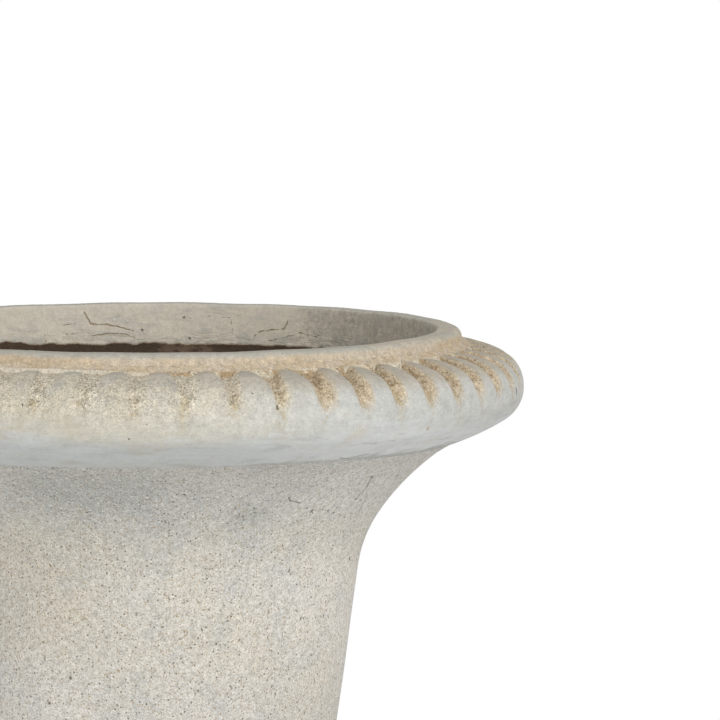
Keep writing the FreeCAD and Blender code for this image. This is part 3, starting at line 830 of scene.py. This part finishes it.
def grit_sand():
    """Loose sand grains, pale to dark brown."""
    finish = Finish("grit_sand", 0.95, (0.28, 0.19, 0.10))
    chance = finish.patchy(420.0, 1.0, 0.5)
    finish.coat(chance.ramp(0.38, 0.50), (0.50, 0.41, 0.28))
    finish.coat(chance.ramp(0.52, 0.66), (0.66, 0.61, 0.51))
    return finish.close(chance, 0.2 * MM)


def plinth_cement():
    """The bowl's cement, with a wet stain creeping up from the ground."""
    finish = Finish("plinth_cement", 0.93, (0.56, 0.515, 0.43))
    clouds = finish.patchy(10.0, 3.0, 0.6)
    finish.coat(clouds.ramp(0.38, 0.62), (0.53, 0.50, 0.44))
    finish.coat(finish.patchy(34.0, 4.0, 0.62, 0.5).ramp(0.48, 0.68) * 0.55, (0.445, 0.445, 0.425))
    damp_edge = finish.height + (clouds - 0.5) * (60 * MM)
    finish.coat(damp_edge.ramp(26 * MM, 2 * MM) * 0.6, (0.34, 0.315, 0.255))
    finish.sanded(1 * MM, 0.26)
    dark_sand, large = finish.pits(3 * MM, 0.26, 0.4), finish.pits(12 * MM, 0.10, 0.35)
    finish.coat(finish.pits(1.9 * MM, 0.42, 0.5) * 0.5, (0.40, 0.31, 0.20))
    finish.coat(dark_sand * 0.6, (0.22, 0.19, 0.15))
    # painted shade: near-black in the large pits
    finish.coat(large * 0.8, PIT_SHADE)
    return finish.close(finish.sand - dark_sand * 0.8 - large * 1.5, 0.5 * MM)


def plain_finish(name, base, roughness, metallic, strength):
    finish = Finish(name, roughness, base)
    finish.shader.inputs["Metallic"].default_value = metallic
    finish.sanded(1 * MM, strength)
    return finish.close(finish.sand, 0.1 * MM)


# ---------------------------------------------------------------- pieces
CAST_TREE = cast_surface_tree()
BOWL_CEMENT, PLINTH_CEMENT, MORTAR = bowl_cement(), plinth_cement(), bedding_mortar()


def cast_piece(name, node, slot, mesh, material, sizes=None, tree=CAST_TREE):
    """A true form given its hand-finished surface, in place of a CAD node."""
    return finished(name, through_tree(mesh, tree, {**CASTING, **(sizes or {})}, material), URN, slot, node)


def make_roll():
    low, high = ROLL_LOW.z, ROLL_HIGH.z
    inner = NOSE_ROUND - ROLL_WALL
    fine, coarse, hidden = 1.6 * MM, 2.6 * MM, 12 * MM
    junction, crease = (LIP_OUT, high), (CREASE, low)
    points = outline([
        (CREASE - CREASE_LAND, low, 14 * MM),
        crease + (coarse, UNDER_SWEEP, 1),
        on_nose(NOSE_ROUND, NOSE_LOW_ANGLE) + (coarse, NOSE_ROUND, 1),
        on_nose(NOSE_ROUND, NOSE_HIGH_ANGLE) + (fine, SHOULDER_SWEEP, 1),
        junction + (5 * MM,),
        (ROLL_MOUTH, high, hidden),
        (ROLL_MOUTH, high - ROLL_WALL, hidden, SHOULDER_SWEEP - ROLL_WALL, -1),
        on_nose(inner, NOSE_HIGH_ANGLE) + (hidden, inner, -1),
        on_nose(inner, NOSE_LOW_ANGLE) + (hidden,),
        (CREASE - CREASE_LAND, low + ROLL_LIP, hidden),
    ])
    along, past_crease = -lengths_from(points, junction), -lengths_from(points, crease)
    unseen, ungrooved = (along < -20 * MM) | (past_crease > HAIR), 0.3
    mesh = turned_mesh(points, RIM_SEGMENTS, along=np.where(unseen, ungrooved, along), inside=unseen)
    roll = cast_piece("fluted_roll", "rim_roll", "cement", mesh, roll_cement(), FLUTES, fluted_roll_tree())
    make_grit(roll.data)


def make_grit(roll):
    """Sand grains left in the grooves, thickest under the lip and thin on the worn side."""
    along, bed = attribute_of(roll, "along"), roll.copy()
    fading = np.clip((46 * MM - along) / (40 * MM), 0.0, 1.0) * (along > 0.5 * MM)
    worn = 1 - 0.85 * attribute_of(roll, "worn")
    write_attribute(bed, "grit", np.sqrt(attribute_of(roll, "groove")) * fading * worn)
    sizes = {"Grains Per Area": 3.4e5, "Grain Radius": 0.75 * MM, "Seed": 7.0}
    finished("groove_grit", through_tree(bed, grit_tree(), sizes, grit_sand()), URN, "mortar")


def make_bowl():
    low, high = BOWL_LOW.z, BOWL_HIGH.z
    wall, floor = 16 * MM, 24 * MM
    taper, slope = math.radians(7.9), math.radians(33.8)
    neck, neck_z, neck_sweep = 156 * MM, low + 256.7 * MM, 100 * MM
    belly_z, belly_sweep = low + 90 * MM, 113 * MM
    belly = neck - (neck_z - belly_z) * math.tan(taper)
    level = wall / math.cos(taper)
    fine, rough = 3.2 * MM, 9 * MM
    crease = (CREASE, high)
    points = outline([
        (BOLT_HOLE, low, 14 * MM),
        (62 * MM, low, fine, belly_sweep, 1),
        (belly, belly_z, fine),
        (neck, neck_z, fine, neck_sweep, -1),
        (FLARE, FLARE_Z, fine, FLARE_SWEEP, -1),
        crease + (14 * MM,),
        (CREASE - CREASE_LAND, high, rough, FLARE_SWEEP + wall, 1),
        (FLARE - wall * math.cos(slope), FLARE_Z + wall * math.sin(slope), rough, neck_sweep + wall, 1),
        (neck - level, neck_z, rough),
        (belly - level, belly_z, rough, belly_sweep - wall, -1),
        (74 * MM, low + floor, rough),
        (BOLT_HOLE, low + floor, 12 * MM),
    ])
    past_crease = lengths_from(points, crease)
    mesh = turned_mesh(points, 520, along=past_crease, inside=past_crease > HAIR)
    mesh = drilled(mesh, low - 10 * MM, low + 50 * MM)
    cast_piece("bowl_shell", "bowl_body", "cement", mesh, BOWL_CEMENT)


def make_lip():
    foot, skirt = LIP_LOW.z, MOUTH + 6 * MM
    shoulder, curve, softened = LIP_OUT - 3.5 * MM, 6.5 * MM, 1.6 * MM
    fine = 1.6 * MM
    points = outline([
        (MOUTH, foot, 3 * MM),
        (skirt, foot, fine),
        (skirt, LIP_BED, 8 * MM),
        (LIP_OUT, LIP_BED, fine),
        (shoulder, LIP_TOP - curve, fine, curve, 1),
        (shoulder - curve, LIP_TOP, fine),
        (MOUTH + softened, LIP_TOP, 0.8 * MM, softened, 1),
        (MOUTH, LIP_TOP - softened, fine),
    ])
    along = -lengths_from(points, (MOUTH + softened, LIP_TOP))
    radius, height = np.array(points).T
    unseen = (height < LIP_BED + 0.5 * MM) & (radius > MOUTH + 0.5 * MM)
    hanging = np.clip((foot + 12 * MM - height) / (12 * MM), 0, 1) * (radius < skirt + 0.1 * MM)
    # the far side of the lip was struck off a little high, and its skirt is short at the far left
    turn = around(RIM_SEGMENTS)
    far = 0.5 - 0.5 * np.cos(2 * np.pi * turn)
    uneven = 0.3 * np.sin(34 * np.pi * turn) * np.sin(10 * np.pi * turn)
    raised = np.clip((height - LIP_TOP + 8 * MM) / (8 * MM), 0, 1)
    short = 3.6 * np.exp(-((turn * 360 + 149) / 9) ** 2)
    heights = height + np.outer(1.3 * far ** 2 + uneven, raised) * MM + np.outer(short, hanging) * MM
    mesh = ring_mesh(np.tile(radius, (RIM_SEGMENTS, 1)), heights, along=along, inside=unseen, edge=hanging)
    cast_piece("lip_ring", "rim_collar", "cement", mesh, lip_cement(),
               {"Lump Height": 0.5 * MM, "Ragged Height": 5 * MM, "Grain Height": 0.22 * MM})


def mortar_ring(name, node, corners, material, sizes=None, worn_edge=False):
    """A bed of mortar that stands a little proud of the joint that it fills."""
    radius, height = np.array(outline([corner + (1.2 * MM,) for corner in corners])).T
    turn = around(900)
    # over the worn lobes a worn edge stands out as a thin wavy ledge
    worn = np.clip(np.cos(2 * np.pi * (turn + 28 / 360)) * 12 - 10.6, 0, 1) * worn_edge
    waves = 1.5 + 0.5 * np.sin(2 * np.pi * 21 * turn) + 0.4 * np.sin(2 * np.pi * 34 * turn + 1)
    proud = np.clip((radius - LIP_OUT - 0.4 * MM) / (2 * MM), 0, 1) * (height > ROLL_HIGH.z - 1.5 * MM)
    ledge = np.outer(worn * waves, proud) * MM
    mesh = ring_mesh(radius + ledge, height + 0.35 * ledge, ledge=np.outer(worn, proud),
                     edge=np.outer(0.7 - 0.3 * worn, proud))
    cast_piece(name, node, "mortar", mesh, material, sizes)


def make_lip_bed():
    """The bed under the lip. Its points are in mm, out from the lip's face and up from the roll's top."""
    margin = [(4, -7.5), (8, -6.5), (5, -2.2), (3.4, 0), (2.7, 0.8), (0.8, 2.3), (-1.2, 4.1), (-3.6, 5.5),
              (-5, 4)]
    top, inner = ROLL_HIGH.z, ROLL_MOUTH + 1 * MM
    corners = [(inner, top - 2 * MM)]
    corners += [(LIP_OUT + out * MM, top + up * MM) for out, up in margin]
    corners += [(inner, top + 2 * MM)]
    mortar_ring("lip_bed", "collar_mortar", corners, MORTAR, {
        "Lump Height": 0.5 * MM, "Grain Height": 0.3 * MM, "Grain Size": 3.5 * MM,
        "Ragged Height": 2.4 * MM, "Ragged Size": 14 * MM,
    }, worn_edge=True)


def make_crease_bed():
    """A cove between the flare below and the roll's underside above, from a little way along each."""
    sunk, step, steps = np.array((0, 0.25 * MM)), 1 * MM, 10
    flare = arc((FLARE, FLARE_Z), (CREASE, BOWL_HIGH.z), step, FLARE_SWEEP, -1)[-steps] + sunk
    nose = on_nose(NOSE_ROUND, NOSE_LOW_ANGLE)
    under = arc((CREASE, ROLL_LOW.z), nose, step, UNDER_SWEEP, 1)[steps - 1] + sunk
    corner, inner = np.array((CREASE, CREASE_BED - 0.2 * MM)), CREASE - CREASE_LAND + 1.5 * MM
    cove = [tuple((1 - way) ** 2 * flare + 2 * way * (1 - way) * corner + way ** 2 * under)
            for way in np.linspace(0, 1, 12)]
    mortar_ring("crease_bed", "roll_mortar", [
        (inner, CREASE_BED + 0.2 * MM), (flare[0], flare[1] + 1.5 * MM), *cove,
        (under[0], under[1] + 1.5 * MM), (inner, CREASE_BED + 2 * MM),
    ], BOWL_CEMENT)


def make_foot_bed():
    low, high, out = FOOT_BED_LOW.z, FOOT_BED_HIGH.z, FOOT_BED_HIGH.x
    mortar_ring("foot_bed", "plinth_mortar", [
        (out - 19 * MM, low), (out + 3 * MM, low), (out + 2.4 * MM, low + 1.2 * MM), (out, high),
        (out - 19 * MM, high),
    ], MORTAR, {
        "Lump Height": 0.9 * MM, "Lump Size": 22 * MM, "Grain Height": 0.5 * MM, "Grain Size": 3.5 * MM,
    })


def make_pedestal():
    foot, seat = PEDESTAL_LOW.z, PEDESTAL_HIGH.z
    out, waist, bead, seat_radius = PEDESTAL_HIGH.x, 48 * MM, 58 * MM, 62 * MM
    plate, fine, hidden = 20 * MM, 2.4 * MM, 7 * MM
    points = eased(outline([
        (out - 22 * MM, foot, fine),
        (out, foot, fine, 15 * MM, 1),
        (out, foot + 26 * MM, fine),
        (out - 10 * MM, foot + 26 * MM, fine),
        (out - 10 * MM, foot + 32 * MM, fine, 84 * MM, -1),
        (waist, foot + 112 * MM, fine, 36 * MM, -1),
        (bead, foot + 137 * MM, fine, 8.5 * MM, 1),
        (bead, foot + 152 * MM, fine),
        (seat_radius, foot + 159 * MM, fine),
        (seat_radius, seat, fine),
        (BOLT_HOLE, seat, hidden),
        (BOLT_HOLE, seat - plate, hidden),
        (waist - 16 * MM, seat - plate, hidden),
        (waist - 16 * MM, foot + 112 * MM, hidden, 100 * MM, 1),
        (out - 22 * MM, foot + 32 * MM, hidden),
    ]))
    mesh = drilled(turned_mesh(points, 400), seat - 30 * MM, seat + 10 * MM)
    cast_piece("pedestal_casting", "pedestal", "cement", mesh, PLINTH_CEMENT)


def make_plinth():
    """The square plinth, its faces as uneven as a rammed mould leaves them, but none below the ground."""
    block = closed_on_axis(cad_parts["plinth"].data.copy())
    mesh = applied(block, "REMESH", mode="VOXEL", voxel_size=2.6 * MM)
    piece = cast_piece("plinth_casting", "plinth", "cement", mesh, PLINTH_CEMENT,
                       {"Lump Height": 0.8 * MM, "Lump Size": 70 * MM})
    for vertex in piece.data.vertices:
        vertex.co.z = max(vertex.co.z, 0.0)


def make_gasket(rubber):
    """The rubber disc, squeezed out round its rim."""
    rim, low, high = GASKET_HIGH.x - 0.6 * MM, GASKET_LOW.z, GASKET_HIGH.z
    points = outline([
        (BOLT_HOLE, low, 6 * MM),
        (rim, low, 0.4 * MM, (high - low) * 0.6, 1),
        (rim, high, 6 * MM),
        (BOLT_HOLE, high, 1 * MM),
    ])
    gasket = drilled(turned_mesh(points, 200), low - 5 * MM, high + 5 * MM)
    gasket.materials.append(rubber)
    finished("gasket_ring", gasket, URN, "rubber", "bowl_gasket")


def make_stopper(rubber):
    """The drain stopper: a ribbed stem, a flange and a small grip."""
    foot, flange, top, stem, grip = PLUG_LOW.z, PLUG_LOW.z + 20 * MM, PLUG_HIGH.z, 6.6 * MM, 3 * MM
    edge, groove, waist = PLUG_HIGH.x - DRAIN_OFFSET, stem - 0.5 * MM, grip - 0.6 * MM
    side = [(stem - 1 * MM, foot)]
    for rib in (foot + 5 * MM, foot + 9 * MM, foot + 13 * MM):
        side += [(groove, rib - 1.6 * MM), (stem - 0.1 * MM, rib), (groove, rib + 0.4 * MM)]
    side += [
        (stem - 0.2 * MM, flange), (edge, flange), (edge, flange + 3 * MM), (edge - 1 * MM, flange + 4 * MM),
        (grip + 0.5 * MM, flange + 4 * MM), (waist, flange + 6 * MM), (waist, flange + 9.5 * MM),
        (grip, flange + 11 * MM), (waist, top),
    ]
    way = [side[0]]
    for start, stop in zip(side, side[1:]):
        way += line(start, stop, 0.5 * MM)
    places = np.array(way)
    for _ in range(2):
        places[1:-1] = (places[:-2] + 2 * places[1:-1] + places[2:]) / 4
    stopper = closed_on_axis(turned_mesh([(0.0, foot), *places, (0.0, top)], 64, DRAIN_OFFSET))
    stopper.materials.append(rubber)
    finished("drain_stopper", stopper, STOPPER, "rubber", "drain_plug")


def make_bolt_set():
    """The bolt through both seats, with its nut and washers."""
    zinc = plain_finish("zinc_plate", (0.55, 0.56, 0.58), 0.35, 1.0, 0.15)
    neck, shank, foot = BOLT_HIGH.z - 6.4 * MM, 5 * MM, BOLT_LOW.z
    side = [(0.0, foot), (shank - 1 * MM, foot), (shank, foot + 1 * MM)]
    side += [*line(side[-1], (shank, neck), 0.25 * MM), (0.0, neck)]
    rod = closed_on_axis(turned_mesh(side, 40, along=[height for _, height in side]))
    thread = {"Pitch": 1.5 * MM, "Depth": 0.8 * MM, "Thread Foot": foot, "Thread Top": neck - 26 * MM}
    rod = through_tree(rod, thread_tree(), thread, zinc)
    bolt = together([rod, closed_on_axis(hexagon_mesh(neck, BOLT_HIGH.z, 0.0))])
    nut = hexagon_mesh(NUT_LOW.z, NUT_HIGH.z, shank + 0.1 * MM)
    washer, thick = WASHER_HIGH.x, 2.5 * MM
    rings = []
    for low in (WASHER_LOW.z, WASHER_HIGH.z - thick):
        points = eased(outline([
            (BOLT_HOLE, low, 3 * MM),
            (washer, low, 0.6 * MM),
            (washer, low + thick, 3 * MM),
            (BOLT_HOLE, low + thick, 0.6 * MM),
        ]))
        rings.append(turned_mesh(points, 96))
    for name, node, mesh, smooth in (
        ("bolt", "centre_bolt", bolt, False),
        ("hex_nut", "bolt_nut", nut, False),
        ("washer_pair", "bolt_washers", together(rings), True),
    ):
        mesh.materials.clear()
        mesh.materials.append(zinc)
        finished(name, mesh, URN, "zinc", node, smooth=smooth)


def make_all():
    make_roll()
    make_bowl()
    make_lip()
    make_lip_bed()
    make_crease_bed()
    make_foot_bed()
    make_pedestal()
    make_plinth()
    rubber = plain_finish("black_rubber", (0.03, 0.03, 0.03), 0.6, 0.0, 0.25)
    make_gasket(rubber)
    make_stopper(rubber)
    make_bolt_set()


# ---------------------------------------------------------------- studio
AMBIENT = 0.6


def area_light(name, place, target, size, power):
    lamp = bpy.data.lights.new(name, "AREA")
    lamp.shape = "SQUARE"
    lamp.size = size
    lamp.energy = power
    holder = bpy.data.objects.new(name, lamp)
    bpy.context.scene.collection.objects.link(holder)
    holder.location = place
    holder.rotation_euler = (Vector(target) - Vector(place)).to_track_quat("-Z", "Y").to_euler()


def make_studio():
    """A white sky, a pale round floor and two soft lights."""
    world = bpy.data.worlds.new("studio")
    bpy.context.scene.world = world
    world.use_nodes = True
    sky = Wiring(world.node_tree)
    background = world.node_tree.nodes["Background"]
    sky.feed(background.inputs["Color"], (1.0, 1.0, 1.0))
    seen = sky.output("ShaderNodeLightPath", name="Is Camera Ray")
    sky.feed(background.inputs["Strength"], seen.spread(AMBIENT, 1.0))
    bpy.ops.mesh.primitive_circle_add(vertices=96, radius=2.6, fill_type="NGON", location=(0, 0, 0))
    floor = bpy.context.object
    floor.name = "studio_floor"
    paint = bpy.data.materials.new("pale_floor")
    paint.use_nodes = True
    shader = paint.node_tree.nodes["Principled BSDF"]
    shader.inputs["Base Color"].default_value = (0.86, 0.86, 0.85, 1.0)
    shader.inputs["Roughness"].default_value = 0.9
    floor.data.materials.append(paint)
    rim = (0, 0, LIP_TOP - 0.05)
    area_light("key_light", (2.7, -3.6, 2.9), rim, 2.4, 135)
    area_light("low_fill", (-2.4, -3.7, 0.35), rim, 2.0, 52)


def make_camera():
    """The photograph is a long-lens close crop of the urn's upper right."""
    away, above_rim = 6.375, 0.526
    picture_centre = (0.1575, 0.0, LIP_TOP - 0.0244)
    frame_width = 0.54
    lens = bpy.data.cameras.new("camera")
    camera = bpy.data.objects.new("camera", lens)
    bpy.context.scene.collection.objects.link(camera)
    camera.location = (0.0, -away, LIP_TOP + above_rim)
    look = Vector(picture_centre) - camera.location
    camera.rotation_euler = look.to_track_quat("-Z", "Y").to_euler()
    lens.sensor_width = 36.0
    lens.lens = lens.sensor_width * look.length / frame_width
    lens.clip_start, lens.clip_end = 0.1, 100.0
    bpy.context.scene.camera = camera


make_all()
make_studio()
make_camera()
bpy.context.scene.view_settings.view_transform = "Standard"
